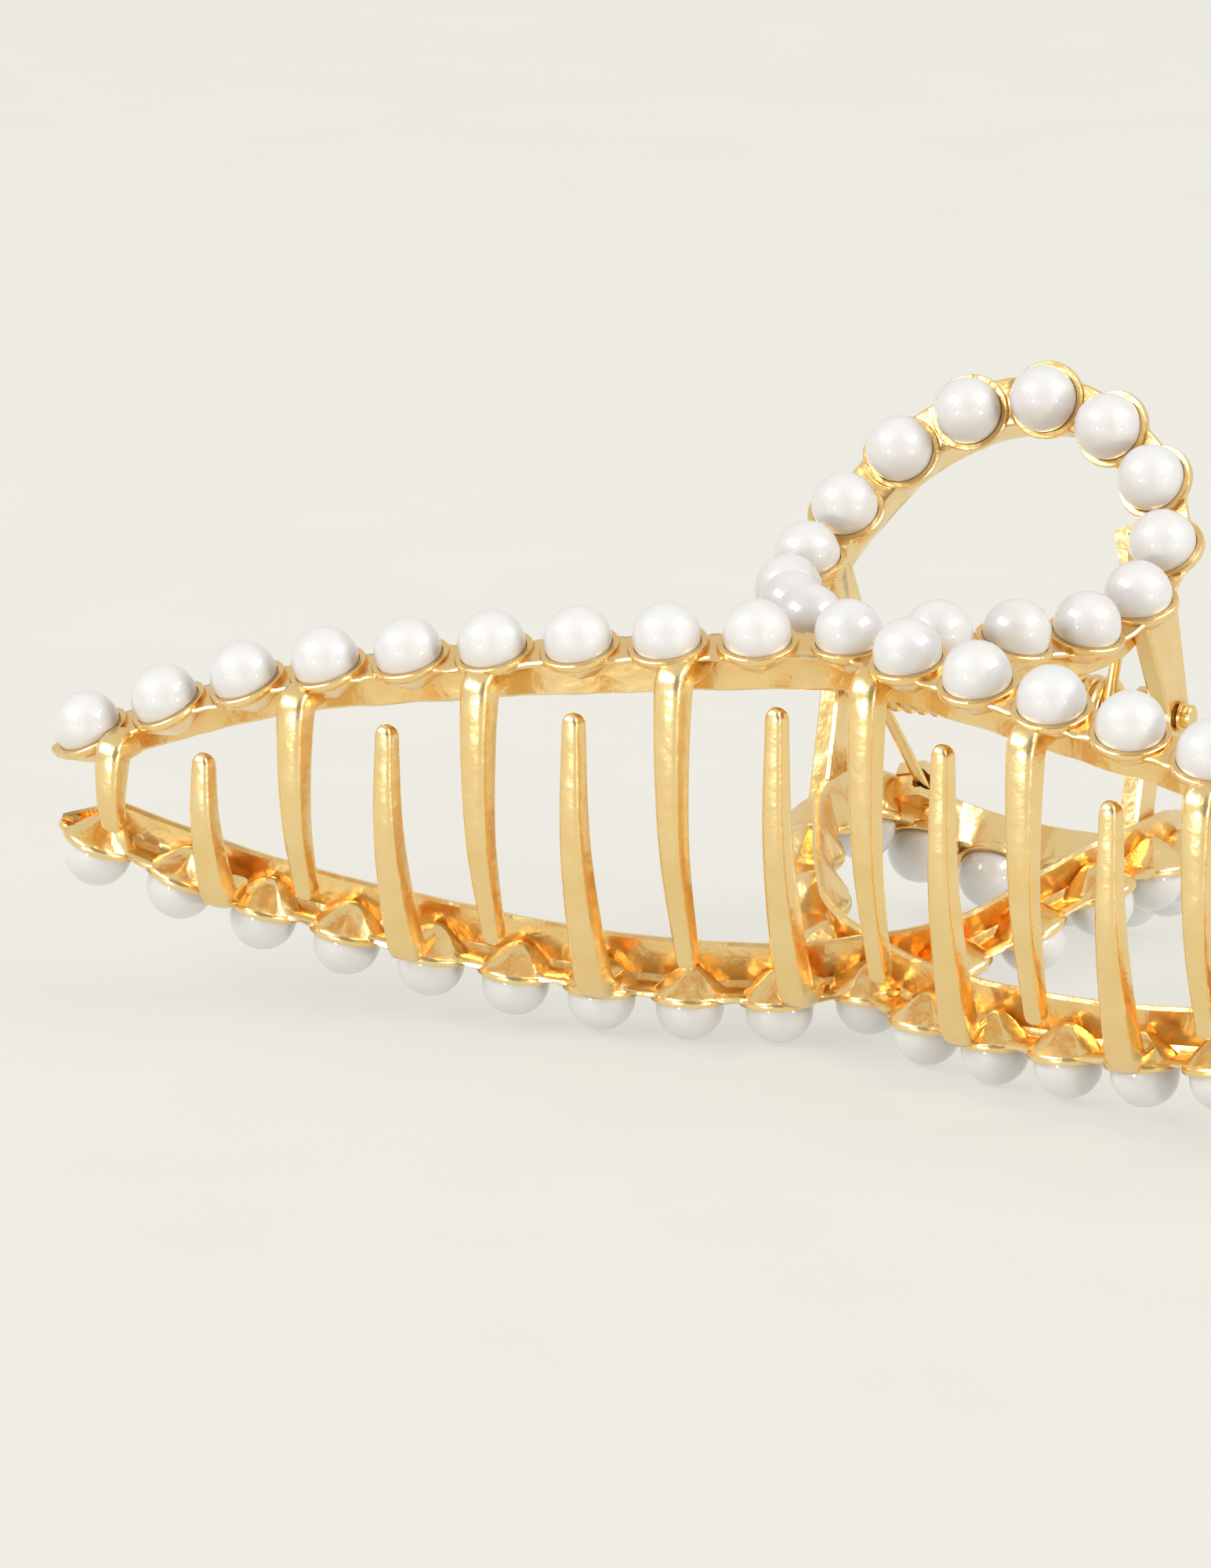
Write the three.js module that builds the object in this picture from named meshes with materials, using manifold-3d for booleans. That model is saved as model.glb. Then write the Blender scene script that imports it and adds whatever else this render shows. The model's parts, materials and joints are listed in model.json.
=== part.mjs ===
// Pearl-studded claw hair clip. Two identical castings, one turned half a turn about Y, hold
// seventeen pearls on each arm pair and fifteen on each finger loop. They turn on one hinge pin
// and a torsion spring keeps them shut. Millimetres, +Z up.
//
// Clip frame, before the clip is tipped onto its resting pearls: X along the hinge pin,
// -Y towards the teeth, +Y towards the finger loops, Z across the parting plane of the two jaws.
// Y is zero where a jaw's ribbon crosses over itself.
import * as THREE from 'three';
import { mergeVertices } from 'three/addons/utils/BufferGeometryUtils.js';
import Module from 'manifold-3d';

const wasm = await Module();
wasm.setup();

// Pearls
const pearlRadius = 2.5;
const armPearls = 9;
const armPitch = 6.6;
const loopSidePearls = 7;
const loopFirstPitch = 6.62;
const loopPitchStep = 0.12;
const separateLoopPearls = 4;

// Ribbon: a plate under the pearls with a wall along its left edge
const ribbonHalfWidth = 2.9;
const plateTop = -1.5;
const plateThickness = 1.3;
const wallThickness = 0.9;
const wallHeight = 2.0;
const wallSlant = 0.9;
const armLean = 9;
const crownLean = 62;
const leanStartY = 4;
const ribbonOverhang = 2.4;

// Cups on the plate, each with a conical seat for its pearl
const cupRadius = 2.85;
const cupRim = -0.8;
const cupFoot = -1.9;
const seatRadius = 2.6;
const seatFootRadius = 1.6;
const seatFoot = -2.65;
const cupSides = 8;

// Teeth
const teeth = 8;
const toothPitch = 14.2;
const firstToothX = -53.25;
const toothRootWidth = 3.5;
const toothTipWidth = 1.7;
const toothRootDepth = 2.2;
const toothTipDepth = 1.2;
const toothReach = 4.4;

// Hinge
const hingeY = 25;
const pinRadius = 0.75;
const pinHoleRadius = 0.95;
const pinHalfLength = 15.4;
const pinHeadRadius = 1.15;
const pinGrooveRadius = 0.85;
const earThickness = 1.5;
const earRadius = 2.1;
const outerEarX = 12.8;
const innerEarX = 10.9;

// Torsion spring
const wireRadius = 0.45;
const coilRadius = 1.9;
const coilHalfLength = 9.4;
const coilTurns = 17;
const legEnd = new THREE.Vector3(9.0, 30.1, 11.4);

// Resting tip of the closed clip about X, in degrees
const restTip = 7.83;

const gold = new THREE.MeshStandardMaterial({ color: 0xe6c27e, roughness: 0.3, metalness: 1 });
const wire = new THREE.MeshStandardMaterial({ color: 0xdcb46a, roughness: 0.28, metalness: 1 });
const pearl = new THREE.MeshStandardMaterial({ color: 0xe9e5df, roughness: 0.25, metalness: 0 });

// One jaw's ribbon line through the pearl centres: left arm tip, crossing, right side of the loop
// and the middle of the loop's crown. The rest of the line mirrors it.
const halfLine = [
  [-59.6, -13.3, 3.9],
  [-44.3, -10.1, 9.6],
  [-31.6, -8.2, 12.3],
  [-18.7, -6.3, 14.0],
  [-6.1, -2.9, 14.7],
  [0, 0, 14.35],
  [5.1, 4.0, 13.4],
  [12.1, 14.8, 10.9],
  [13.4, 20.9, 11.25],
  [12.9, 26.4, 13.0],
  [10.3, 30.6, 16.2],
  [5.8, 33.3, 18.8],
  [0, 34.5, 20.0],
].map((point) => new THREE.Vector3(...point));

function mirrored(point) {
  return new THREE.Vector3(-point.x, point.y, point.z);
}

function wholeLine() {
  const back = halfLine.slice(0, -1).reverse().map(mirrored);
  const line = new THREE.CatmullRomCurve3([...halfLine, ...back], false, 'centripetal');
  line.arcLengthDivisions = 2000;
  return line;
}

const line = wholeLine();
const lineLength = line.getLength();

// The way a pearl faces at a point of the line: up, leaning to -Y, square to the line.
function facing(u) {
  const along = line.getTangentAt(u);
  const depth = (line.getPointAt(u).y - leanStartY) / (halfLine.at(-1).y - leanStartY);
  const lean = THREE.MathUtils.lerp(armLean, crownLean, THREE.MathUtils.clamp(depth, 0, 1));
  const angle = THREE.MathUtils.degToRad(lean);
  const up = new THREE.Vector3(0, -Math.sin(angle), Math.cos(angle));
  return up.addScaledVector(along, -up.dot(along)).normalize();
}

// A frame on the line: x along it, y to its left, z the way the pearls face.
function lineFrame(u) {
  const along = line.getTangentAt(u);
  const up = facing(u);
  const left = new THREE.Vector3().crossVectors(up, along);
  return new THREE.Matrix4().makeBasis(along, left, up).setPosition(line.getPointAt(u));
}

// A path along the line with one straight step between neighbouring stations, each a share of the
// line's length. Its sections keep the line's own frames.
class Stretch extends THREE.Curve {
  constructor(stations) {
    super();
    this.stations = stations;
  }

  shareAt(t) {
    const place = t * (this.stations.length - 1);
    const index = Math.min(Math.floor(place), this.stations.length - 2);
    return THREE.MathUtils.lerp(this.stations[index], this.stations[index + 1], place - index);
  }

  getPoint(t) {
    return line.getPointAt(this.shareAt(t));
  }

  getPointAt(t) {
    return this.getPoint(t);
  }

  computeFrenetFrames() {
    const tangents = this.stations.map((share) => line.getTangentAt(share));
    const binormals = this.stations.map(facing);
    const normals = tangents.map((along, i) => new THREE.Vector3().crossVectors(binormals[i], along));
    return { tangents, normals, binormals };
  }
}

function toSolid(geometry) {
  const bare = geometry.clone();
  bare.deleteAttribute('normal');
  bare.deleteAttribute('uv');
  const merged = mergeVertices(bare, 1e-5);
  return new wasm.Manifold(new wasm.Mesh({
    numProp: 3,
    vertProperties: new Float32Array(merged.attributes.position.array),
    triVerts: new Uint32Array(merged.index.array),
  }));
}

function toGeometry(solid) {
  const mesh = solid.getMesh();
  const geometry = new THREE.BufferGeometry();
  geometry.setAttribute('position', new THREE.BufferAttribute(mesh.vertProperties, 3));
  geometry.setIndex(new THREE.BufferAttribute(mesh.triVerts, 1));
  geometry.computeVertexNormals();
  return geometry;
}

function join(solids) {
  return solids.reduce((whole, solid) => whole.add(solid));
}

// L-shaped section: the plate, and the wall that slants in under its left edge.
function ribbonSection() {
  const plateFoot = plateTop - plateThickness;
  const wallFoot = plateFoot - wallHeight;
  return new THREE.Shape([
    new THREE.Vector2(-ribbonHalfWidth, plateFoot),
    new THREE.Vector2(ribbonHalfWidth - wallThickness, plateFoot),
    new THREE.Vector2(ribbonHalfWidth - wallThickness - wallSlant, wallFoot),
    new THREE.Vector2(ribbonHalfWidth - wallSlant, wallFoot),
    new THREE.Vector2(ribbonHalfWidth, plateTop),
    new THREE.Vector2(-ribbonHalfWidth, plateTop),
  ]);
}

function ribbon(stations) {
  return new THREE.ExtrudeGeometry(ribbonSection(), {
    steps: stations.length - 1,
    extrudePath: new Stretch(stations),
  });
}

// The ribbon's steps meet midway between pearls, from one arm's tip to the middle of the crown.
function ribbonStations(seats) {
  const shares = seats.map((seat) => seat.share).filter((share) => share <= 0.5);
  shares.sort((a, b) => a - b);
  const between = shares.slice(1).map((share, i) => (share + shares[i]) / 2);
  return [shares[0] - ribbonOverhang / lineLength, ...between, 0.5];
}

// Where the pearls sit along the line, each as a name and a share of the line's length.
function pearlSeats() {
  const seats = [];
  const crossing = shareAtX(0);
  const addPair = (kind, number, share, castOn) => {
    const right = kind === 'loop' ? share : 1 - share;
    const name = `${kind}_${number}`;
    seats.push({ name: `right_${name}`, share: right, frame: lineFrame(right), castOn });
    seats.push({ name: `left_${name}`, share: 1 - right, frame: lineFrame(1 - right), castOn });
  };
  for (let k = 1; k <= armPearls; k += 1) {
    addPair('arm', k, crossing - (k * armPitch) / lineLength, false);
  }
  let run = 0;
  for (let k = 1; k <= loopSidePearls; k += 1) {
    run += loopFirstPitch - (k - 1) * loopPitchStep;
    addPair('loop', k, crossing + run / lineLength, k > separateLoopPearls);
  }
  seats.push({ name: 'crossing', share: crossing, frame: crossingFrame(crossing), castOn: false });
  seats.push({ name: 'crown', share: 0.5, frame: lineFrame(0.5), castOn: false });
  return seats;
}

// The crossing's pearl faces midway between the two ribbons under it.
function crossingFrame(share) {
  const across = new THREE.Vector3(1, 0, 0);
  const up = facing(share);
  up.setX(0).normalize();
  const left = new THREE.Vector3().crossVectors(up, across);
  return new THREE.Matrix4().makeBasis(across, left, up).setPosition(line.getPointAt(share));
}

// The line's share of length at a given X on the left arm.
function shareAtX(x) {
  let low = 0;
  let high = 0.4;
  for (let i = 0; i < 40; i += 1) {
    const middle = (low + high) / 2;
    if (line.getPointAt(middle).x < x) {
      low = middle;
    } else {
      high = middle;
    }
  }
  return low;
}

function pearlBall(seat) {
  return new THREE.SphereGeometry(pearlRadius, cupSides, 5)
    .rotateX(Math.PI / 2)
    .applyMatrix4(seat.frame);
}

// A turned body on a pearl's axis, from its profile as pairs of radius and height.
function turned(seat, profile) {
  const points = profile.map(([radius, height]) => new THREE.Vector2(radius, height));
  return toSolid(new THREE.LatheGeometry(points, cupSides).rotateX(Math.PI / 2).applyMatrix4(seat.frame));
}

function cup(seat) {
  return turned(seat, [[0, cupFoot], [cupRadius, cupFoot], [cupRadius, cupRim], [0, cupRim]]);
}

// The room for a pearl: its seat, and the space above the seat.
function seatRoom(seat) {
  return turned(seat, [
    [0, seatFoot],
    [seatFootRadius, seatFoot],
    [seatRadius, cupRim],
    [seatRadius, pearlRadius],
    [0, pearlRadius],
  ]);
}

// A tapering bar along a curve in a plane of constant X: the rings of a cylinder laid on the curve.
function taperedBar(path, x, sides, rings, widthAt, depthAt) {
  const bar = new THREE.CylinderGeometry(1, 1, 1, sides, rings);
  const place = bar.attributes.position;
  const across = new THREE.Vector3(1, 0, 0);
  for (let i = 0; i < place.count; i += 1) {
    const t = 0.5 - place.getY(i);
    const along = path.getTangent(t);
    const outward = new THREE.Vector3().crossVectors(along, across);
    const point = path.getPoint(t);
    point.x = x;
    point.addScaledVector(across, (place.getX(i) * widthAt(t)) / 2);
    point.addScaledVector(outward, (place.getZ(i) * depthAt(t)) / 2);
    place.setXYZ(i, point.x, point.y, point.z);
  }
  return bar;
}

// A tooth: out of the front rim, over a rounded shoulder, then across with a slight forward bow.
function tooth(x) {
  const root = line.getPointAt(shareAtX(-Math.abs(x)));
  const shoulder = root.z - 4.0;
  const tip = toothReach - root.z;
  const bow = 0.05 * (shoulder - tip);
  const path = new THREE.CatmullRomCurve3([
    new THREE.Vector3(0, root.y - 1.2, root.z - 2.4),
    new THREE.Vector3(0, root.y - 2.8, root.z - 2.5),
    new THREE.Vector3(0, root.y - 3.5, shoulder),
    new THREE.Vector3(0, root.y - 3.6 - bow, THREE.MathUtils.lerp(shoulder, tip, 0.5)),
    new THREE.Vector3(0, root.y - 3.4, tip),
  ], false, 'centripetal');
  const taper = (root_, tip_) => (t) => {
    const roundTip = t > 0.97 ? 0.55 : 1;
    return THREE.MathUtils.lerp(root_, tip_, t) * roundTip;
  };
  const width = taper(toothRootWidth, toothTipWidth);
  const depth = taper(toothRootDepth, toothTipDepth);
  return taperedBar(path, x, 6, 6, width, depth);
}

// A hinge ear: a flat plate from the loop's side down to a round end that the pin goes through.
function ear(x) {
  const outline = new THREE.Shape();
  outline.moveTo(19.6, 10.0);
  outline.lineTo(hingeY - earRadius, 0);
  outline.absarc(hingeY, 0, earRadius, Math.PI, 2 * Math.PI, false);
  outline.lineTo(26.0, 11.4);
  const hole = new THREE.Path();
  hole.absarc(hingeY, 0, pinHoleRadius, 0, 2 * Math.PI, true);
  outline.holes.push(hole);
  const plate = new THREE.ExtrudeGeometry(outline, {
    depth: earThickness,
    bevelEnabled: false,
    curveSegments: 6,
  });
  const turn = new THREE.Matrix4().makeBasis(
    new THREE.Vector3(0, 1, 0),
    new THREE.Vector3(0, 0, 1),
    new THREE.Vector3(1, 0, 0),
  );
  return plate.applyMatrix4(turn).translate(x, 0, 0);
}

// Where a straight leg leaves the coil, seen along X, for the leg that ends at legEnd.
function legStart() {
  const dy = legEnd.y - hingeY;
  const reach = Math.hypot(dy, legEnd.z);
  const toEnd = Math.atan2(legEnd.z, dy);
  return toEnd + Math.acos(coilRadius / reach);
}

// The spring's wire: lower leg, close-wound coil, upper leg. The coil turns backwards over the
// top as it goes to +X, so both legs leave it on the side of the teeth.
class SpringWire extends THREE.Curve {
  constructor() {
    super();
    this.lastAngle = legStart();
    this.firstAngle = 2 * Math.PI * coilTurns + 2 * Math.PI - this.lastAngle;
    const turned = this.firstAngle - this.lastAngle;
    this.coilLength = Math.hypot(turned * coilRadius, 2 * coilHalfLength);
    this.legLength = this.coilPoint(1).distanceTo(legEnd);
  }

  coilPoint(t) {
    const angle = THREE.MathUtils.lerp(this.firstAngle, this.lastAngle, t);
    return new THREE.Vector3(
      THREE.MathUtils.lerp(-coilHalfLength, coilHalfLength, t),
      hingeY + coilRadius * Math.cos(angle),
      coilRadius * Math.sin(angle),
    );
  }

  getPoint(t) {
    const run = t * (this.coilLength + 2 * this.legLength);
    const lowerEnd = new THREE.Vector3(-legEnd.x, legEnd.y, -legEnd.z);
    if (run < this.legLength) {
      return lowerEnd.lerp(this.coilPoint(0), run / this.legLength);
    }
    if (run > this.legLength + this.coilLength) {
      const rest = (run - this.legLength - this.coilLength) / this.legLength;
      return this.coilPoint(1).lerp(legEnd, rest);
    }
    return this.coilPoint((run - this.legLength) / this.coilLength);
  }

  getPointAt(t) {
    return this.getPoint(t);
  }

  getTangentAt(t) {
    return this.getTangent(t);
  }
}

function roundSection(radius, sides) {
  const points = [];
  for (let i = 0; i < sides; i += 1) {
    const angle = (2 * Math.PI * i) / sides;
    points.push(new THREE.Vector2(radius * Math.cos(angle), radius * Math.sin(angle)));
  }
  return new THREE.Shape(points);
}

function torsionSpring() {
  return new THREE.ExtrudeGeometry(roundSection(wireRadius, 5), {
    steps: 132,
    extrudePath: new SpringWire(),
  });
}

// A lug inside the loop, with a notch that holds the end of the spring's leg.
function legLug() {
  const share = 0.5 - 15.2 / lineLength;
  const block = new THREE.BoxGeometry(3.2, 2.9, 3.0);
  block.translate(0, 3.0, -3.7);
  return block.applyMatrix4(lineFrame(share));
}

function legNotch() {
  const start = new SpringWire().coilPoint(1);
  const direction = legEnd.clone().sub(start).normalize();
  const notch = new THREE.CylinderGeometry(wireRadius + 0.3, wireRadius + 0.3, 6, 8);
  notch.translate(0, -2.6, 0);
  notch.applyQuaternion(new THREE.Quaternion().setFromUnitVectors(new THREE.Vector3(0, 1, 0), direction));
  return notch.translate(legEnd.x, legEnd.y, legEnd.z);
}

// One casting in the upper jaw's place. The pearls that turn the loop's back corners are cast on.
function jaw(seats) {
  const stations = ribbonStations(seats);
  const back = stations.map((share) => 1 - share).reverse();
  const parts = [ribbon(stations), ribbon(back), ear(outerEarX), ear(-innerEarX - earThickness), legLug()];
  for (let i = 0; i < teeth; i += 1) {
    parts.push(tooth(firstToothX + i * toothPitch));
  }
  const body = join([...parts.map(toSolid), ...seats.map(cup)]);
  const room = join(seats.filter((seat) => !seat.castOn).map(seatRoom));
  const castOn = seats.filter((seat) => seat.castOn).map((seat) => toSolid(pearlBall(seat)));
  return toGeometry(join([body.subtract(room).subtract(toSolid(legNotch())), ...castOn]));
}

function hingePin() {
  const profile = [
    [0, -pinHalfLength],
    [pinHeadRadius, -pinHalfLength],
    [pinHeadRadius, 0.9 - pinHalfLength],
    [pinRadius, 0.9 - pinHalfLength],
    [pinRadius, pinHalfLength - 0.95],
    [pinHeadRadius, pinHalfLength - 0.95],
    [pinHeadRadius, pinHalfLength - 0.65],
    [pinGrooveRadius, pinHalfLength - 0.6],
    [pinGrooveRadius + 0.1, pinHalfLength],
    [0, pinHalfLength],
  ].map(([radius, height]) => new THREE.Vector2(radius, height));
  return new THREE.LatheGeometry(profile, 12).rotateZ(-Math.PI / 2).translate(0, hingeY, 0);
}

function named(name, geometry, material) {
  const mesh = new THREE.Mesh(geometry, material);
  mesh.name = name;
  return mesh;
}

// A jaw and its pearls.
function half(prefix, seats, casting) {
  const group = new THREE.Group();
  group.add(named(`${prefix}_jaw`, casting, gold));
  for (const seat of seats.filter((one) => !one.castOn)) {
    group.add(named(`${prefix}_pearl_${seat.name}`, pearlBall(seat), pearl));
  }
  return group;
}

function clip() {
  const seats = pearlSeats();
  const casting = jaw(seats);
  const group = new THREE.Group();
  const lower = half('lower', seats, casting);
  lower.rotation.y = Math.PI;
  group.add(half('upper', seats, casting));
  group.add(lower);
  group.add(named('hinge_pin', hingePin(), gold));
  group.add(named('torsion_spring', torsionSpring(), wire));
  group.rotation.x = THREE.MathUtils.degToRad(restTip);
  return group;
}

// Puts the middle of the underside of the clip's box at the origin.
function standOnOrigin(group) {
  group.updateMatrixWorld(true);
  const box = new THREE.Box3().setFromObject(group, true);
  const middle = box.getCenter(new THREE.Vector3());
  group.position.set(-middle.x, -middle.y, -box.min.z);
  return group;
}

export default standOnOrigin(clip());
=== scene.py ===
"""The looks of a pearl-studded claw hair clip.

Two gold-plated castings carry 34 glued pearls each, and turn on a hinge pin under a torsion
spring. Shapes are worked out in millimetres in the clip's own frame: X along the hinge pin, -Y
towards the teeth, +Y towards the finger loops, Z across the parting plane, and Y zero where a
jaw's ribbon crosses over itself. The clip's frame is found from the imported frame.
"""
import json
import math
from collections import namedtuple

import bpy
import numpy as np
from mathutils import Matrix, Vector, noise


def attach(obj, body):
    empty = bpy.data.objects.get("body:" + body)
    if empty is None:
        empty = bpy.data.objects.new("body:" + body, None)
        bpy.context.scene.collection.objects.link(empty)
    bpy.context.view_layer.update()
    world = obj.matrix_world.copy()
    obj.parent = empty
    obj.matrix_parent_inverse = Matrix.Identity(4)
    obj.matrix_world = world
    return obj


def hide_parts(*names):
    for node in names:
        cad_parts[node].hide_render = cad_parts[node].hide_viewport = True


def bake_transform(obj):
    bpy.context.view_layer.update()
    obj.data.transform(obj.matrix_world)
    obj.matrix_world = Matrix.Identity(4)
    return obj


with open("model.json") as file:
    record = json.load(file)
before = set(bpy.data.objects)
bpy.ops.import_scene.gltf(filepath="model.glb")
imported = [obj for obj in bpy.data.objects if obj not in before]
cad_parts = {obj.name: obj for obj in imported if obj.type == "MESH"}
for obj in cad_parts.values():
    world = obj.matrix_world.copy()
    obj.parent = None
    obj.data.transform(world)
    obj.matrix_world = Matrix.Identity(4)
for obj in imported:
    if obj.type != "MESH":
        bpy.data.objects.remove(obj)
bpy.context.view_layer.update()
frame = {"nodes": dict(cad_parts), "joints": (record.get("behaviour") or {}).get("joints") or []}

MM = 0.001

# The ribbon's line through the pearl centres, as the CAD part has it: left arm tip, crossing,
# right side of the loop and the middle of its crown. The rest mirrors it.
HALF_LINE = (
    (-59.6, -13.3, 3.9),
    (-44.3, -10.1, 9.6),
    (-31.6, -8.2, 12.3),
    (-18.7, -6.3, 14.0),
    (-6.1, -2.9, 14.7),
    (0.0, 0.0, 14.35),
    (5.1, 4.0, 13.4),
    (12.1, 14.8, 10.9),
    (13.4, 20.9, 11.25),
    (12.9, 26.4, 13.0),
    (10.3, 30.6, 16.2),
    (5.8, 33.3, 18.8),
    (0.0, 34.5, 20.0),
)
ARM_LEAN = math.radians(9)
CROWN_LEAN = math.radians(62)
LEAN_START_Y = 4.0

# Pearls
PEARL_RADIUS = 2.5
ARM_PEARLS = 9
ARM_PITCH = 6.6
LOOP_PEARLS = 7
LOOP_FIRST_PITCH = 6.62
LOOP_PITCH_STEP = 0.12

# Ribbon and cups, measured from the pearl centres along the way the pearls face
RIBBON_OVERHANG = 3.4
END_TAPER = 3.2
WAIST_HALF_WIDTH = 1.85
CUP_RADIUS = 2.95
LIP_TOP = -0.55
WEB_TOP = -0.85
PLATE_FOOT = -1.35
WALL_ROOT = 1.6
WALL_THICKNESS = 0.7
BOSS_TIP = -3.05
BOSS_FACETS_FROM = -1.6
WEB_LUMPS = 0.25
STRAND_OVERLAP = 0.3
LUG_FROM_CROWN = 15.2

# Teeth
TEETH = 8
TOOTH_PITCH = 14.2
FIRST_TOOTH_X = -53.25
TOOTH_REACH = 4.4
TOOTH_WIDTHS = (3.2, 1.8)
TOOTH_DEPTHS = (2.1, 1.3)
TOOTH_ROUND_END = 0.9

# Hinge and spring
HINGE_Y = 25.0
PIN_HOLE_RADIUS = 0.95
EAR_RADIUS = 1.9
EAR_THICKNESS = 1.5
EAR_STARTS = (12.8, -12.4)
WIRE_RADIUS = 0.45
COIL_RADIUS = 1.9
COIL_HALF_LENGTH = 9.4
COIL_TURNS = 17
LEG_END = np.array((9.0, 30.1, 11.4))

Seat = namedtuple("Seat", "name length centre along left up")


# ---------------------------------------------------------------- the clip's frame


def middle_of(node):
    """The middle of a CAD node's corners, in the row frame."""
    corners = np.array([v.co for v in frame["nodes"][node].data.vertices], float)
    return np.unique(np.round(corners, 7), axis=0).mean(axis=0)


def clip_matrix():
    """Takes millimetres in the clip's frame to metres in the row frame. Pearls that mirror each
    other in the half-turn lie either side of the clip's Y axis, and the hinge pin lies on it."""
    hinge = np.array(frame["joints"][0]["pos_m"], float)
    front = (middle_of("upper_pearl_left_arm_9") + middle_of("lower_pearl_left_arm_9")) / 2
    y_axis = hinge - front
    y_axis /= np.linalg.norm(y_axis)
    x_axis = np.array((1.0, 0.0, 0.0))
    turn = np.column_stack((x_axis, y_axis, np.cross(x_axis, y_axis)))
    matrix = np.eye(4)
    matrix[:3, :3] = turn * MM
    matrix[:3, 3] = hinge - y_axis * HINGE_Y * MM
    return matrix


CLIP = clip_matrix()
HALF_TURN = np.diag((-1.0, 1.0, -1.0))


def to_row(points):
    """Points in the clip's frame as points in the row frame."""
    return np.asarray(points, float) @ CLIP[:3, :3].T + CLIP[:3, 3]


# ---------------------------------------------------------------- the ribbon's line


def spline(points, steps):
    """A centripetal Catmull-Rom curve through the points, sampled in steps on each segment."""
    points = np.asarray(points, float)
    ends = (2 * points[0] - points[1], 2 * points[-1] - points[-2])
    padded = np.vstack((ends[0], points, ends[1]))
    samples = []
    for p0, p1, p2, p3 in zip(padded, padded[1:], padded[2:], padded[3:]):
        d0, d1, d2 = (math.sqrt(np.linalg.norm(b - a)) for a, b in ((p0, p1), (p1, p2), (p2, p3)))
        t1 = ((p1 - p0) / d0 - (p2 - p0) / (d0 + d1) + (p2 - p1) / d1) * d1
        t2 = ((p2 - p1) / d1 - (p3 - p1) / (d1 + d2) + (p3 - p2) / d2) * d1
        t = np.arange(steps)[:, None] / steps
        samples.append(
            p1
            + t1 * t
            + (3 * (p2 - p1) - 2 * t1 - t2) * t**2
            + (2 * (p1 - p2) + t1 + t2) * t**3
        )
    return np.vstack((*samples, points[-1:]))


class Line:
    """A curve that gives a point and a direction at any length along it."""

    def __init__(self, samples):
        self.samples = samples
        steps = np.linalg.norm(np.diff(samples, axis=0), axis=1)
        self.lengths = np.concatenate(([0.0], np.cumsum(steps)))
        self.total = self.lengths[-1]

    def at(self, lengths):
        lengths = np.atleast_1d(lengths)
        return np.column_stack([np.interp(lengths, self.lengths, c) for c in self.samples.T])

    def direction(self, lengths):
        lengths = np.atleast_1d(lengths)
        ahead = self.at(np.minimum(lengths + 0.02, self.total))
        behind = self.at(np.maximum(lengths - 0.02, 0.0))
        chord = ahead - behind
        return chord / np.linalg.norm(chord, axis=1)[:, None]


def whole_line():
    half = np.array(HALF_LINE)
    mirrored = half[:-1][::-1] * (-1, 1, 1)
    return Line(spline(np.vstack((half, mirrored)), 120))


LINE = whole_line()


def frames_at(lengths):
    """Points of the line, with its direction, its left and the way pearls face there."""
    points = LINE.at(lengths)
    along = LINE.direction(lengths)
    share = np.clip((points[:, 1] - LEAN_START_Y) / (HALF_LINE[-1][1] - LEAN_START_Y), 0, 1)
    lean = ARM_LEAN + (CROWN_LEAN - ARM_LEAN) * share
    up = np.column_stack((np.zeros_like(lean), -np.sin(lean), np.cos(lean)))
    up -= along * np.sum(up * along, axis=1)[:, None]
    up /= np.linalg.norm(up, axis=1)[:, None]
    return points, along, np.cross(up, along), up


def length_at_x(x):
    """The length at which the first arm reaches a given X."""
    start = LINE.samples[: np.searchsorted(LINE.samples[:, 0] > 3.0, True)]
    return float(np.interp(x, start[:, 0], LINE.lengths[: len(start)]))


def seat_at(name, length):
    point, along, left, up = (values[0] for values in frames_at(length))
    return Seat(name, length, point, along, left, up)


def crossing_seat():
    """The crossing's pearl faces midway between the two strands under it."""
    seat = seat_at("crossing", length_at_x(0.0))
    up = seat.up * (0, 1, 1)
    up /= np.linalg.norm(up)
    across = np.array((1.0, 0.0, 0.0))
    return seat._replace(along=across, left=np.cross(up, across), up=up)


def pearl_seats():
    """The places of one jaw's pearls."""
    crossing = length_at_x(0.0)
    lengths = {f"arm_{k}": crossing - k * ARM_PITCH for k in range(1, ARM_PEARLS + 1)}
    run = crossing
    for k in range(LOOP_PEARLS):
        run += LOOP_FIRST_PITCH - k * LOOP_PITCH_STEP
        lengths[f"loop_{k + 1}"] = run
    seats = []
    for name, length in lengths.items():
        side, other = ("left", "right") if name.startswith("arm") else ("right", "left")
        seats.append(seat_at(f"{side}_{name}", length))
        seats.append(seat_at(f"{other}_{name}", LINE.total - length))
    return [*seats, crossing_seat(), seat_at("crown", LINE.total / 2)]


SEATS = pearl_seats()


# ---------------------------------------------------------------- mesh helpers


def waves(points, size, seed):
    """Smooth noise from -1 to 1 at each point, with lumps about that size in millimetres."""
    shift = Vector((seed * 7.3, seed * 3.1, seed * 5.7))
    return np.array([noise.noise(Vector(p) / size + shift) for p in points])


def solid(rings):
    """Corners and faces of a closed solid from rings of equal size, with a flat cap at each end."""
    rings = np.asarray(rings, float)
    count, size = rings.shape[:2]
    corners = rings.reshape(-1, 3)
    faces = [tuple(range(size))[::-1], tuple(range((count - 1) * size, count * size))]
    for i in range(count - 1):
        for j in range(size):
            k = (j + 1) % size
            faces.append((i * size + j, i * size + k, (i + 1) * size + k, (i + 1) * size + j))
    return facing_out(corners, faces)


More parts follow.
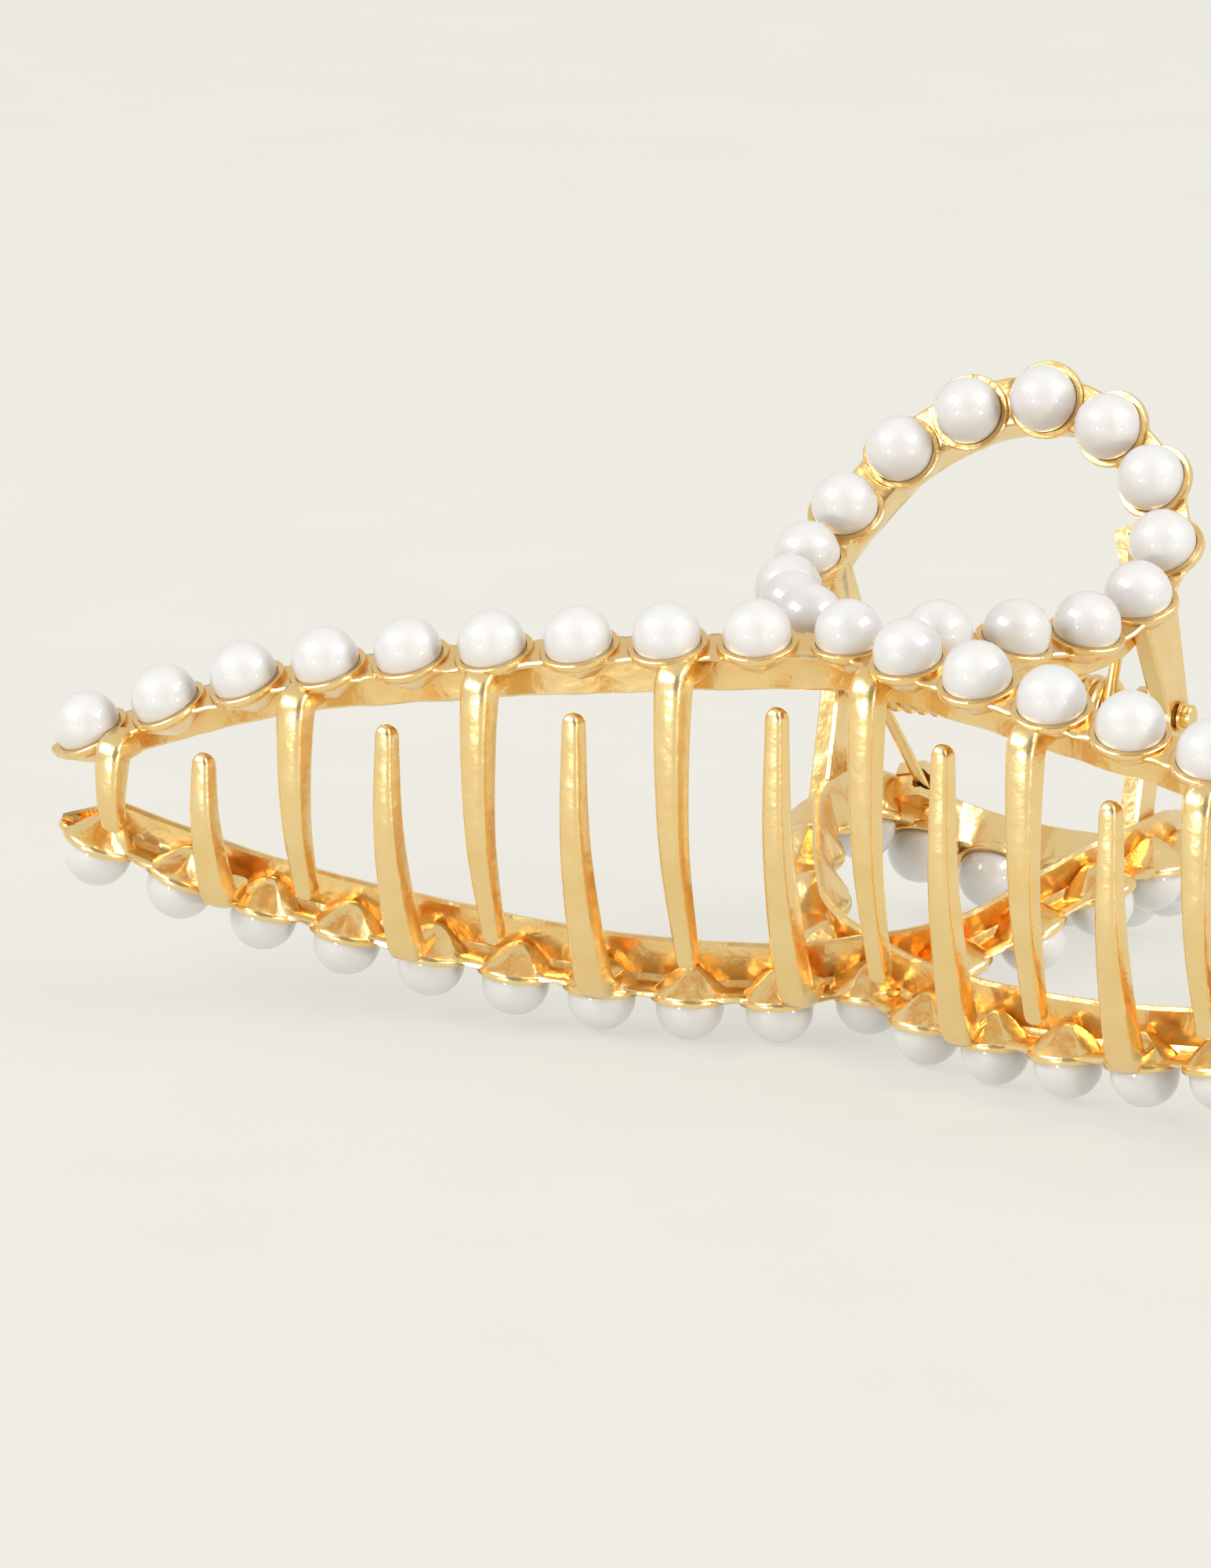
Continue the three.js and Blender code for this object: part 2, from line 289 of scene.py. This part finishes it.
def facing_out(corners, faces):
    """The same solid, with its faces turned round if they face in."""
    middle = corners.mean(axis=0)
    volume = 0.0
    for face in faces:
        a = corners[face[0]] - middle
        for j, k in zip(face[1:], face[2:]):
            volume += a @ np.cross(corners[j] - middle, corners[k] - middle)
    if volume < 0:
        faces = [face[::-1] for face in faces]
    return corners, faces


def mesh_of(name, solids):
    """One mesh in the clip's frame that holds several solids."""
    corners, faces, start = [], [], 0
    for one_corners, one_faces in solids:
        corners.append(one_corners)
        faces.extend(tuple(start + i for i in face) for face in one_faces)
        start += len(one_corners)
    mesh = bpy.data.meshes.new(name)
    mesh.from_pydata(np.vstack(corners).tolist(), [], faces)
    mesh.update()
    return mesh


def object_of(name, mesh):
    made = bpy.data.objects.new(name, mesh)
    bpy.context.scene.collection.objects.link(made)
    return made


def combine(base, solids, operation):
    """Joins solids to the base object or cuts them from it."""
    tool = object_of("tool", mesh_of("tool", solids))
    modifier = base.modifiers.new("combine", "BOOLEAN")
    modifier.operation = operation
    modifier.object = tool
    modifier.solver = "MANIFOLD"
    bpy.context.view_layer.update()
    evaluated = base.evaluated_get(bpy.context.evaluated_depsgraph_get())
    made = bpy.data.meshes.new_from_object(evaluated)
    base.modifiers.clear()
    spent = (base.data, tool.data)
    base.data = made
    bpy.data.objects.remove(tool)
    for mesh in spent:
        bpy.data.meshes.remove(mesh)
    return base


def smooth(mesh, angle):
    """Smooth shading that keeps edges sharper than the angle crisp."""
    mesh.shade_smooth()
    mesh.set_sharp_from_angle(angle=math.radians(angle))


def turned(seat, profile, sides, shape=None):
    """A turned solid on a seat's axis, from (radius, height) pairs. shape(angles, height) gives
    a factor for the radius where the section isn't round."""
    angles = 2 * np.pi * np.arange(sides) / sides
    rings = []
    for radius, height in profile:
        factor = shape(angles, height) if shape else np.ones(sides)
        across = (radius * factor * np.cos(angles))[:, None] * seat.along
        aside = (radius * factor * np.sin(angles))[:, None] * seat.left
        rings.append(seat.centre + across + aside + height * seat.up)
    return solid(rings)


# ---------------------------------------------------------------- the casting


def distance_to_seat(lengths):
    """How far along the line each place is from the nearest pearl."""
    crossing = length_at_x(0.0)
    centres = np.array([seat.length for seat in SEATS] + [LINE.total - crossing])
    return np.abs(np.asarray(lengths)[:, None] - centres).min(axis=1)


def wall_foot(lengths):
    """Where the wall's foot is along the ribbon, as its left and up from the pearl centres. The
    wall hangs under the plate on the arms and spreads into the loop at the crown."""
    crossing = length_at_x(0.0)
    tip = crossing - ARM_PEARLS * ARM_PITCH
    middle = LINE.total / 2
    nearer = np.minimum(lengths, LINE.total - lengths)
    places = (tip - RIBBON_OVERHANG, tip, tip + 25, crossing, crossing + 9, crossing + 26, middle)
    left = np.interp(nearer, places, (0.5, 1.15, 0.75, 0.4, -0.3, 0.6, 1.8))
    up = np.interp(nearer, places, (-1.8, -3.9, -4.7, -4.9, -4.3, -4.3, -4.6))
    return left, up


def ribbon_section(half_width, top, foot_left, foot_up):
    """The ribbon's section, as (left, up) pairs: a thin web with a wall under its left side."""
    half = WALL_THICKNESS / 2
    steps = np.linspace(0, 1, 6)[:, None]
    web = [(y, top) for y in np.linspace(-half_width + 0.15, half_width - 0.2, 6)]
    root, foot = np.array((half_width, top - 0.6)), np.array((foot_left + half, foot_up + 0.2))
    outside = [(half_width, top - 0.15), *(root + (foot - root) * steps)]
    edge = [(foot_left + 0.15, foot_up), (foot_left - 0.15, foot_up)]
    inner_root = np.array((WALL_ROOT - WALL_THICKNESS, max(-1.9, foot_up + 0.3)))
    inner_foot = np.array((foot_left - half, foot_up + 0.25))
    inside = [*(inner_foot + (inner_root - inner_foot) * steps)]
    fillet = [(WALL_ROOT - WALL_THICKNESS - 0.3, PLATE_FOOT - 0.1)]
    under = [(y, PLATE_FOOT) for y in np.linspace(0.4, -half_width + 0.35, 4)]
    rim = [(-half_width + 0.05, PLATE_FOOT + 0.15), (-half_width, top - 0.12)]
    return np.array([*web, *outside, *edge, *inside, *fillet, *under, *rim])


def ribbon(start, end):
    """One strand of the ribbon between two lengths of the line, narrowing to its free end."""
    lengths = np.linspace(start, end, int((end - start) / 0.45))
    points, along, left, up = frames_at(lengths)
    away = distance_to_seat(lengths)
    bulge = np.sqrt(np.maximum((CUP_RADIUS - 0.25) ** 2 - away**2, 0))
    widths = np.maximum(WAIST_HALF_WIDTH, bulge)
    from_tip = np.minimum(lengths, LINE.total - lengths) - min(start, LINE.total - end)
    narrowing = 0.15 + 0.85 * np.sqrt(np.clip(from_tip / END_TAPER, 0, 1))
    foot_left, foot_up = wall_foot(lengths)
    lumps = waves(points, 1.1, 1)
    rings = []
    for i, point in enumerate(points):
        section = ribbon_section(widths[i], WEB_TOP + WEB_LUMPS * lumps[i], foot_left[i], foot_up[i])
        section[:, 0] *= narrowing[i]
        rings.append(point + section[:, :1] * left[i] + section[:, 1:] * up[i])
    return solid(hammered(np.array(rings), left, up))


def hammered(rings, left, up):
    """Gives the ribbon's wall and underside the uneven faces of a cheap casting."""
    count, size = rings.shape[:2]
    flat = rings.reshape(-1, 3)
    broad = waves(flat, 3.2, 2).reshape(count, size)
    fine = waves(flat, 1.2, 3).reshape(count, size)
    sway = 0.2 * broad + 0.07 * fine
    return rings + sway[:, :, None] * (0.5 * left + 0.5 * up)[:, None, :]


def boss_shape(index):
    """The section of the boss under a cup: round at the top, with a few flat sides below."""
    sides = 5 + index % 3
    start = 1.7 * index

    def shape(angles, height):
        flats = np.mod(angles + start, 2 * np.pi / sides) - np.pi / sides
        polygon = math.cos(np.pi / sides) / np.cos(flats)
        share = np.clip((BOSS_FACETS_FROM - height) / 0.5, 0, 1)
        return 1 + share * (polygon - 1)

    return shape


def cup(index, seat):
    """The solid of a pearl's cup and of the faceted boss under it."""
    profile = (
        (0.2, BOSS_TIP),
        (0.5, BOSS_TIP + 0.07),
        (1.05, -2.72),
        (1.6, -2.3),
        (2.05, -1.9),
        (2.45, -1.5),
        (2.78, -1.22),
        (2.93, -1.05),
        (CUP_RADIUS, -0.8),
        (2.92, LIP_TOP - 0.06),
        (2.85, LIP_TOP),
        (0.4, LIP_TOP),
    )
    return turned(seat, profile, 48, boss_shape(index))


def seat_room(seat):
    """What is cut out for a pearl: a bowl that opens a little at the lip."""
    bowl = [(math.sqrt(2.53**2 - z**2), z) for z in (-2.51, -2.33, -2.04, -1.67, -1.33, -0.98)]
    profile = (
        *bowl, (2.41, -0.78), (2.46, -0.64), (2.5, LIP_TOP + 0.04),
        (2.56, -0.3), (2.56, 1.0), (0.3, 1.0),
    )
    return turned(seat, profile, 48)


def tooth_path(x):
    """A tooth's middle line: out of the front rim, over a rounded shoulder, then across."""
    root = LINE.at(length_at_x(-abs(x)))[0]
    shoulder = root[2] - 4.0
    tip = TOOTH_REACH - root[2]
    bow = 0.05 * (shoulder - tip)
    points = (
        (x, root[1] - 1.0, root[2] - 2.0),
        (x, root[1] - 2.8, root[2] - 2.2),
        (x, root[1] - 3.5, shoulder),
        (x, root[1] - 3.6 - bow, (shoulder + tip) / 2),
        (x, root[1] - 3.4, tip),
    )
    return Line(spline(points, 40))


def tooth_section(width, depth):
    """A tooth's section as (across, out) pairs: a slightly rounded front, flared sides and a
    flat back."""
    angles = 2 * np.pi * np.arange(32) / 32
    across = np.sign(np.cos(angles)) * np.abs(np.cos(angles)) ** 0.36
    out = np.sign(np.sin(angles)) * np.abs(np.sin(angles)) ** 0.36
    narrow = 0.84 - 0.16 * out
    return np.column_stack((across * narrow * width / 2, out * (1 - 0.12 * across**2) * depth / 2))


def tooth(x):
    path = tooth_path(x)
    rounded = TOOTH_ROUND_END / path.total
    ending = np.sin(np.linspace(0.15, 1.5, 8))
    shares = np.concatenate((np.linspace(0, 1 - rounded, 40), 1 - rounded + rounded * ending))
    points = path.at(shares * path.total)
    along = path.direction(shares * path.total)
    across = np.array((1.0, 0.0, 0.0))
    rings = []
    for share, point, direction in zip(shares, points, along):
        end = max(0.0, (share - 1 + rounded) / rounded)
        round_tip = math.sqrt(max(0.01, 1 - end**2))
        width = np.interp(share, (0, 1), TOOTH_WIDTHS) * round_tip
        depth = np.interp(share, (0, 1), TOOTH_DEPTHS) * round_tip
        out = np.cross(direction, across)
        section = tooth_section(width, depth)
        rings.append(point + section[:, :1] * across + section[:, 1:] * out)
    return solid(rings)


def arc(centre, radius, start, end, steps):
    angles = np.linspace(start, end, steps)
    return [(centre[0] + radius * math.cos(a), centre[1] + radius * math.sin(a)) for a in angles]


def shrunk(outline, amount):
    """An outline moved in by about the amount, towards its own middle."""
    outline = np.asarray(outline, float)
    ahead = np.roll(outline, -1, axis=0) - np.roll(outline, 1, axis=0)
    inward = np.column_stack((-ahead[:, 1], ahead[:, 0]))
    inward /= np.linalg.norm(inward, axis=1)[:, None]
    if np.sum(inward * (outline.mean(axis=0) - outline)) < 0:
        inward = -inward
    return outline + amount * inward


def plate(outline, x, thickness, edge):
    """A flat plate square to X with softened edges, from an outline of (y, z) pairs."""
    rings = []
    for offset, inset in ((0, edge), (edge, 0), (thickness - edge, 0), (thickness, edge)):
        yz = shrunk(outline, inset) if inset else np.asarray(outline, float)
        rings.append(np.column_stack((np.full(len(yz), x + offset), yz)))
    return solid(rings)


def ear(x):
    """A hinge ear: a plate from the loop's side down to a round end for the pin. The inner ear
    is the narrower one at its top."""
    back = (25.2, 11.5) if x > 0 else (22.8, 11.0)
    sides = [np.linspace(a, b, 8, endpoint=False) for a, b in (
        ((19.4, 10.5), (23.3, 1.0)),
        ((26.85, 0.6), back),
        (back, (19.4, 10.5)),
    )]
    bottom = arc((HINGE_Y, 0.0), EAR_RADIUS, math.radians(155), math.radians(375), 24)
    outline = np.vstack((sides[0], bottom, sides[1][1:], sides[2]))
    return plate(outline, x, EAR_THICKNESS, 0.2)


def rod(start, end, radius, sides=24):
    """A plain round cutter between two points."""
    start, end = np.array(start, float), np.array(end, float)
    axis = (end - start) / np.linalg.norm(end - start)
    aside = np.cross(axis, (0.3, 0.5, 0.8))
    aside /= np.linalg.norm(aside)
    third = np.cross(axis, aside)
    angles = 2 * np.pi * np.arange(sides) / sides
    circle = radius * (np.cos(angles)[:, None] * aside + np.sin(angles)[:, None] * third)
    return solid([start + circle, end + circle])


def leg_lug():
    """A ribbed lug inside the loop that holds the end of the spring's leg."""
    point, along, left, up = (v[0] for v in frames_at(LINE.total / 2 - LUG_FROM_CROWN))
    rings = []
    for height, grow in ((-2.3, 0.2), (-3.2, 0.1), (-3.3, -0.1), (-4.1, -0.15), (-4.2, 0.05), (-5.2, -0.2)):
        half_long, near, far = 1.5 + grow, 1.6, 4.3 + grow
        square = ((-half_long, near), (half_long, near), (half_long - 0.2, far), (0.2 - half_long, far))
        rings.append([point + a * along + b * left + height * up for a, b in square])
    return solid(rings)


def casting():
    """One jaw in the upper jaw's place, in the clip's frame."""
    middle = LINE.total / 2
    tip = SEATS[2 * ARM_PEARLS - 2].length - RIBBON_OVERHANG
    base = object_of("casting", mesh_of("casting", [ribbon(tip, middle + STRAND_OVERLAP)]))
    combine(base, [ribbon(middle - STRAND_OVERLAP, LINE.total - tip)], "UNION")
    cups = [cup(i, seat) for i, seat in enumerate(SEATS)]
    for start in range(3):
        combine(base, cups[start::3], "UNION")
    combine(base, [tooth(FIRST_TOOTH_X + i * TOOTH_PITCH) for i in range(TEETH)], "UNION")
    combine(base, [*(ear(x) for x in EAR_STARTS), leg_lug()], "UNION")
    rooms = [seat_room(seat) for seat in SEATS]
    for start in range(3):
        combine(base, rooms[start::3], "DIFFERENCE")
    leg = LEG_END - spring_points()[-2]
    leg /= np.linalg.norm(leg)
    holes = [rod((x - 0.5, HINGE_Y, 0), (x + 2.0, HINGE_Y, 0), PIN_HOLE_RADIUS) for x in EAR_STARTS]
    notch = rod(LEG_END - 5.6 * leg, LEG_END + 0.4 * leg, WIRE_RADIUS + 0.3)
    combine(base, [*holes, notch], "DIFFERENCE")
    mesh = base.data
    bpy.data.objects.remove(base)
    return mesh


# ---------------------------------------------------------------- pin, spring and pearls


def turned_on_x(profile, sides):
    """A turned solid on the hinge's axis, from (radius, x) pairs."""
    centre, y_axis, z_axis, x_axis = np.array(((0, HINGE_Y, 0), (0, 1, 0), (0, 0, 1), (1, 0, 0)))
    return turned(Seat("hinge", 0, centre, y_axis, z_axis, x_axis), profile, sides)


def pin():
    """The hinge pin: a domed head at one end, a collar and a swaged stub at the other."""
    profile = (
        (0.3, -15.4), (0.8, -15.32), (1.08, -15.1), (1.15, -14.85), (1.15, -14.6),
        (1.05, -14.5), (0.75, -14.5), (0.75, 14.45), (1.05, 14.45), (1.15, 14.5),
        (1.15, 14.7), (1.05, 14.75), (0.8, 14.78), (0.78, 14.85), (0.92, 14.95),
        (0.97, 15.1), (0.95, 15.3), (0.82, 15.4), (0.2, 15.36),
    )
    return turned_on_x(profile, 40)


def spring_points():
    """The spring's wire: lower leg, close-wound coil and upper leg."""
    reach = LEG_END[1:] - (HINGE_Y, 0)
    last = math.atan2(reach[1], reach[0]) + math.acos(COIL_RADIUS / np.hypot(*reach))
    first = 2 * math.pi * (COIL_TURNS + 1) - last
    angles = np.linspace(first, last, COIL_TURNS * 28)
    coil = np.column_stack((
        np.linspace(-COIL_HALF_LENGTH, COIL_HALF_LENGTH, len(angles)),
        HINGE_Y + COIL_RADIUS * np.cos(angles),
        COIL_RADIUS * np.sin(angles),
    ))
    lower_end = HALF_TURN @ LEG_END
    lower_leg = lower_end + (coil[0] - lower_end) * np.linspace(0, 1, 12, endpoint=False)[:, None]
    upper_leg = coil[-1] + (LEG_END - coil[-1]) * np.linspace(0, 1, 13)[1:, None]
    return np.vstack((lower_leg, coil, upper_leg))


def tube(points, radius, sides):
    """A round wire along points, with rounded ends."""
    along = np.gradient(points, axis=0)
    along /= np.linalg.norm(along, axis=1)[:, None]
    side = np.cross(along[0], (1.0, 0.0, 0.0))
    angles = 2 * np.pi * np.arange(sides) / sides
    rings = []
    for i, (point, direction) in enumerate(zip(points, along)):
        side = side - direction * (side @ direction)
        side /= np.linalg.norm(side)
        other = np.cross(direction, side)
        scale = radius * (0.75 if i in (0, len(points) - 1) else 1.0)
        rings.append(point + scale * (np.cos(angles)[:, None] * side + np.sin(angles)[:, None] * other))
    return solid(rings)


def pearl_mesh():
    """A half-drilled pearl about its own centre, facing +Z, in millimetres: never quite round,
    with a flat where it was cut to sit on the glue and a blind hole up its axis."""
    angles = np.linspace(math.radians(170), math.radians(0.6), 40)
    shell = [(PEARL_RADIUS * math.sin(a), PEARL_RADIUS * math.cos(a)) for a in angles]
    hole = [(0.3, -1.5), (0.36, -1.6), (0.36, shell[0][1] + 0.03)]
    axis = Seat("pearl", 0, np.zeros(3), *np.eye(3))
    corners, faces = turned(axis, hole + shell, 56)
    reach = np.linalg.norm(corners, axis=1)
    outside = reach > PEARL_RADIUS - 0.1
    corners[outside] *= 1 + 0.004 * waves(corners[outside], 1.6, 9)[:, None]
    mesh = mesh_of("pearl", [(corners, faces)])
    smooth(mesh, 50)
    return mesh


# ---------------------------------------------------------------- materials


def new_material(name):
    material = bpy.data.materials.new(name)
    material.use_nodes = True
    return material, material.node_tree, material.node_tree.nodes["Principled BSDF"]


def noise_node(tree, scale, detail, roughness=0.5):
    """Noise by place on the object. Scale is in lumps per metre."""
    place = tree.nodes.new("ShaderNodeTexCoord")
    made = tree.nodes.new("ShaderNodeTexNoise")
    made.inputs["Scale"].default_value = scale
    made.inputs["Detail"].default_value = detail
    made.inputs["Roughness"].default_value = roughness
    tree.links.new(place.outputs["Object"], made.inputs["Vector"])
    return made.outputs["Fac"]


def ramp(tree, value, stops):
    made = tree.nodes.new("ShaderNodeValToRGB")
    made.color_ramp.elements[0].position = stops[0][0]
    made.color_ramp.elements[0].color = (*stops[0][1], 1)
    made.color_ramp.elements[1].position = stops[1][0]
    made.color_ramp.elements[1].color = (*stops[1][1], 1)
    tree.links.new(value, made.inputs["Fac"])
    return made.outputs["Color"]


def mapped(tree, value, low, high):
    made = tree.nodes.new("ShaderNodeMapRange")
    made.inputs["To Min"].default_value = low
    made.inputs["To Max"].default_value = high
    tree.links.new(value, made.inputs["Value"])
    return made.outputs["Result"]


def bump(tree, height, distance, strength, below=None):
    made = tree.nodes.new("ShaderNodeBump")
    made.inputs["Distance"].default_value = distance
    made.inputs["Strength"].default_value = strength
    tree.links.new(height, made.inputs["Height"])
    if below is not None:
        tree.links.new(below, made.inputs["Normal"])
    return made.outputs["Normal"]


def painted_recess_shade(tree, colour, shade_colour, reach):
    """Paints shade into a colour: it turns towards the shade colour where the surface is closed in within
    the reach, in metres, standing in for the shade and gold reflected in gold in recesses.
    """
    shelter = tree.nodes.new("ShaderNodeAmbientOcclusion")
    shelter.samples = 8
    shelter.inputs["Distance"].default_value = reach
    openness = mapped(tree, shelter.outputs["AO"], 0.0, 1.0)
    mix = tree.nodes.new("ShaderNodeMix")
    mix.data_type = "RGBA"
    mix.inputs["A"].default_value = (*shade_colour, 1)
    tree.links.new(openness, mix.inputs["Factor"])
    tree.links.new(colour, mix.inputs["B"])
    return mix.outputs["Result"]


def gold_material():
    """Pale gold plating over a cast surface: soft dents, fine grain and uneven polish, with painted shade
    that turns its recesses deep orange.
    """
    material, tree, shader = new_material("gold_plating")
    shader.inputs["Metallic"].default_value = 1.0
    tone = noise_node(tree, 350, 3)
    colour = ramp(tree, tone, ((0.3, (0.91, 0.655, 0.285)), (0.7, (0.93, 0.715, 0.36))))
    # Painted shade: the gold turns deep orange in recesses, by ambient occlusion, in place of the shade and
    # gold-on-gold reflections there.
    tree.links.new(painted_recess_shade(tree, colour, (0.82, 0.45, 0.12), 0.0028), shader.inputs["Base Color"])
    tree.links.new(mapped(tree, noise_node(tree, 900, 4), 0.14, 0.32), shader.inputs["Roughness"])
    dents = bump(tree, noise_node(tree, 700, 2), 0.0004, 0.25)
    grain = bump(tree, noise_node(tree, 5200, 3), 0.00005, 0.25, dents)
    tree.links.new(grain, shader.inputs["Normal"])
    return material


def wire_material():
    """Drawn and plated wire, brighter and smoother than the castings."""
    material, tree, shader = new_material("gold_wire")
    shader.inputs["Metallic"].default_value = 1.0
    tone = noise_node(tree, 500, 2)
    colour = ramp(tree, tone, ((0.3, (0.88, 0.62, 0.27)), (0.7, (0.93, 0.68, 0.32))))
    tree.links.new(colour, shader.inputs["Base Color"])
    tree.links.new(mapped(tree, noise_node(tree, 2500, 4), 0.16, 0.3), shader.inputs["Roughness"])
    tree.links.new(bump(tree, noise_node(tree, 6000, 3), 0.00004, 0.3), shader.inputs["Normal"])
    return material


def pearl_material():
    """Imitation pearl: milky lacquer under a clear coat, a little uneven."""
    material, tree, shader = new_material("pearl")
    tone = noise_node(tree, 260, 3)
    colour = ramp(tree, tone, ((0.3, (0.62, 0.606, 0.588)), (0.7, (0.67, 0.657, 0.64))))
    tree.links.new(colour, shader.inputs["Base Color"])
    shader.inputs["Subsurface Weight"].default_value = 0.15
    shader.inputs["Subsurface Radius"].default_value = (0.001, 0.0008, 0.0006)
    shader.inputs["Subsurface Scale"].default_value = 1.0
    tree.links.new(mapped(tree, noise_node(tree, 1200, 3), 0.26, 0.36), shader.inputs["Roughness"])
    shader.inputs["IOR"].default_value = 1.7
    shader.inputs["Coat Weight"].default_value = 1.0
    shader.inputs["Coat Roughness"].default_value = 0.06
    shader.inputs["Coat IOR"].default_value = 1.6
    tree.links.new(bump(tree, noise_node(tree, 900, 2), 0.00006, 0.2), shader.inputs["Normal"])
    return material


def floor_material():
    """Lit studio paper, so that shadows on it stay pale, with a trace of fibre."""
    material, tree, shader = new_material("studio_paper")
    colour = ramp(tree, noise_node(tree, 60, 3), ((0.3, (0.20, 0.19, 0.165)), (0.7, (0.21, 0.20, 0.175))))
    shader.inputs["Emission Color"].default_value = (0.98, 0.975, 0.91, 1)
    shader.inputs["Emission Strength"].default_value = 0.565
    tree.links.new(colour, shader.inputs["Base Color"])
    shader.inputs["Roughness"].default_value = 0.9
    tree.links.new(bump(tree, noise_node(tree, 3000, 2), 0.0001, 0.1), shader.inputs["Normal"])
    return material


# ---------------------------------------------------------------- the pieces


def dress(piece, material, slot, body, *nodes):
    """Gives a piece its material, its body and the CAD nodes that it stands for."""
    piece.data.materials.clear()
    piece.data.materials.append(material)
    if nodes:
        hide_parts(*nodes)
    if body:
        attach(piece, body)
    return piece


def make_castings(material):
    shape = casting()
    for half, turn in (("upper", np.eye(3)), ("lower", HALF_TURN)):
        mesh = shape.copy()
        corners = np.empty(len(mesh.vertices) * 3)
        mesh.vertices.foreach_get("co", corners)
        placed = to_row(corners.reshape(-1, 3) @ turn.T)
        mesh.vertices.foreach_set("co", placed.ravel())
        mesh.update()
        smooth(mesh, 38)
        piece = object_of(f"{half}_casting", mesh)
        dress(piece, material, "gold_plating", f"{half}_jaw", f"{half}_jaw")
    bpy.data.meshes.remove(shape)


def row_mesh(name, solids):
    """A mesh in the row frame, from solids in the clip's frame."""
    return mesh_of(name, [(to_row(corners), faces) for corners, faces in solids])


def make_hinge(material):
    pin_mesh = row_mesh("clip_pin", [pin()])
    smooth(pin_mesh, 40)
    dress(object_of("clip_pin", pin_mesh), material, "gold_wire", "lower_jaw", "hinge_pin")
    spring_mesh = row_mesh("clip_spring", [tube(spring_points(), WIRE_RADIUS, 14)])
    smooth(spring_mesh, 50)
    spring = dress(object_of("clip_spring", spring_mesh), material, "gold_wire", None, "torsion_spring")
    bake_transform(spring)


def make_pearls(material):
    mesh = pearl_mesh()
    for half, turn in (("upper", np.eye(3)), ("lower", HALF_TURN)):
        for number, seat in enumerate(SEATS):
            axes = np.column_stack((seat.along, seat.left, seat.up))
            spin = np.array(Matrix.Rotation(2.4 * number, 3, "Z"))
            matrix = np.eye(4)
            matrix[:3, :3] = CLIP[:3, :3] @ turn @ axes @ spin
            matrix[:3, 3] = to_row(turn @ seat.centre)
            piece = object_of(f"{half}_bead_{seat.name}", mesh)
            piece.matrix_world = Matrix(matrix.tolist())
            node = f"{half}_pearl_{seat.name}"
            nodes = [node] if node in frame["nodes"] else []
            dress(piece, material, "pearl", f"{half}_jaw", *nodes)


# ---------------------------------------------------------------- studio and camera

CAMERA_AZIMUTH = math.radians(26.84)
CAMERA_ELEVATION = math.radians(15.43)
CAMERA_PLACE = (278.5, -560.5, 261.6)
CAMERA_LENS = 216.0
LIGHT_DISTANCE = 1.3
FLOOR_HALF = 4.0


def sky_direction(azimuth, elevation):
    """A direction in the row frame: azimuth 0 is -Y and 90 is +X, in degrees."""
    a, e = math.radians(azimuth), math.radians(elevation)
    return Vector((math.sin(a) * math.cos(e), -math.cos(a) * math.cos(e), math.sin(e)))


def make_camera():
    data = bpy.data.cameras.new("camera")
    data.lens = CAMERA_LENS
    data.sensor_width = 36.0
    data.clip_start = 0.01
    data.clip_end = 50.0
    camera = object_of("camera", data)
    back = sky_direction(math.degrees(CAMERA_AZIMUTH), math.degrees(CAMERA_ELEVATION))
    camera.location = Vector(to_row(CAMERA_PLACE))
    camera.rotation_mode = "QUATERNION"
    camera.rotation_quaternion = (-back).to_track_quat("-Z", "Y")
    bpy.context.scene.camera = camera


def soft_box(name, azimuth, elevation, size, radiance):
    """A rectangular light that faces the clip, with its glow given per unit of its area."""
    data = bpy.data.lights.new(name, "AREA")
    data.shape = "RECTANGLE"
    data.size, data.size_y = size
    data.energy = radiance * math.pi * size[0] * size[1]
    light = object_of(name, data)
    direction = sky_direction(azimuth, elevation)
    light.location = direction * LIGHT_DISTANCE
    light.rotation_mode = "QUATERNION"
    light.rotation_quaternion = (-direction).to_track_quat("-Z", "Y")
    light.visible_camera = False


def make_world():
    """An even pale room, darker on the camera's side."""
    world = bpy.data.worlds.new("studio")
    bpy.context.scene.world = world
    world.use_nodes = True
    tree = world.node_tree
    place = tree.nodes.new("ShaderNodeTexCoord")
    dot = tree.nodes.new("ShaderNodeVectorMath")
    dot.operation = "DOT_PRODUCT"
    dot.inputs[1].default_value = sky_direction(math.degrees(CAMERA_AZIMUTH), 28)
    tree.links.new(place.outputs["Generated"], dot.inputs[0])
    made = tree.nodes.new("ShaderNodeValToRGB")
    made.color_ramp.interpolation = "EASE"
    made.color_ramp.elements[0].position = 0.72
    made.color_ramp.elements[0].color = (0.78, 0.775, 0.75, 1)
    made.color_ramp.elements[1].position = 0.97
    made.color_ramp.elements[1].color = (0.36, 0.35, 0.32, 1)
    tree.links.new(dot.outputs["Value"], made.inputs["Fac"])
    tree.links.new(made.outputs["Color"], tree.nodes["Background"].inputs["Color"])


def make_studio():
    make_world()
    azimuth = math.degrees(CAMERA_AZIMUTH)
    soft_box("soft_box_left", azimuth - 69, 41, (0.95, 0.42), 6.5)
    soft_box("soft_box_right", azimuth + 69, 41, (0.95, 0.42), 6.5)
    soft_box("lamp_left", azimuth - 38, 4, (0.17, 0.13), 60.0)
    soft_box("lamp_right", azimuth + 46, 4, (0.17, 0.13), 60.0)
    half = FLOOR_HALF
    mesh = bpy.data.meshes.new("floor")
    corners = [(-half, -half, 0), (half, -half, 0), (half, half, 0), (-half, half, 0)]
    mesh.from_pydata(corners, [], [(0, 1, 2, 3)])
    mesh.materials.append(floor_material())
    object_of("floor", mesh)
    view = bpy.context.scene.view_settings
    view.view_transform = "Standard"
    view.look = "None"


make_camera()
make_studio()
make_castings(gold_material())
make_hinge(wire_material())
make_pearls(pearl_material())
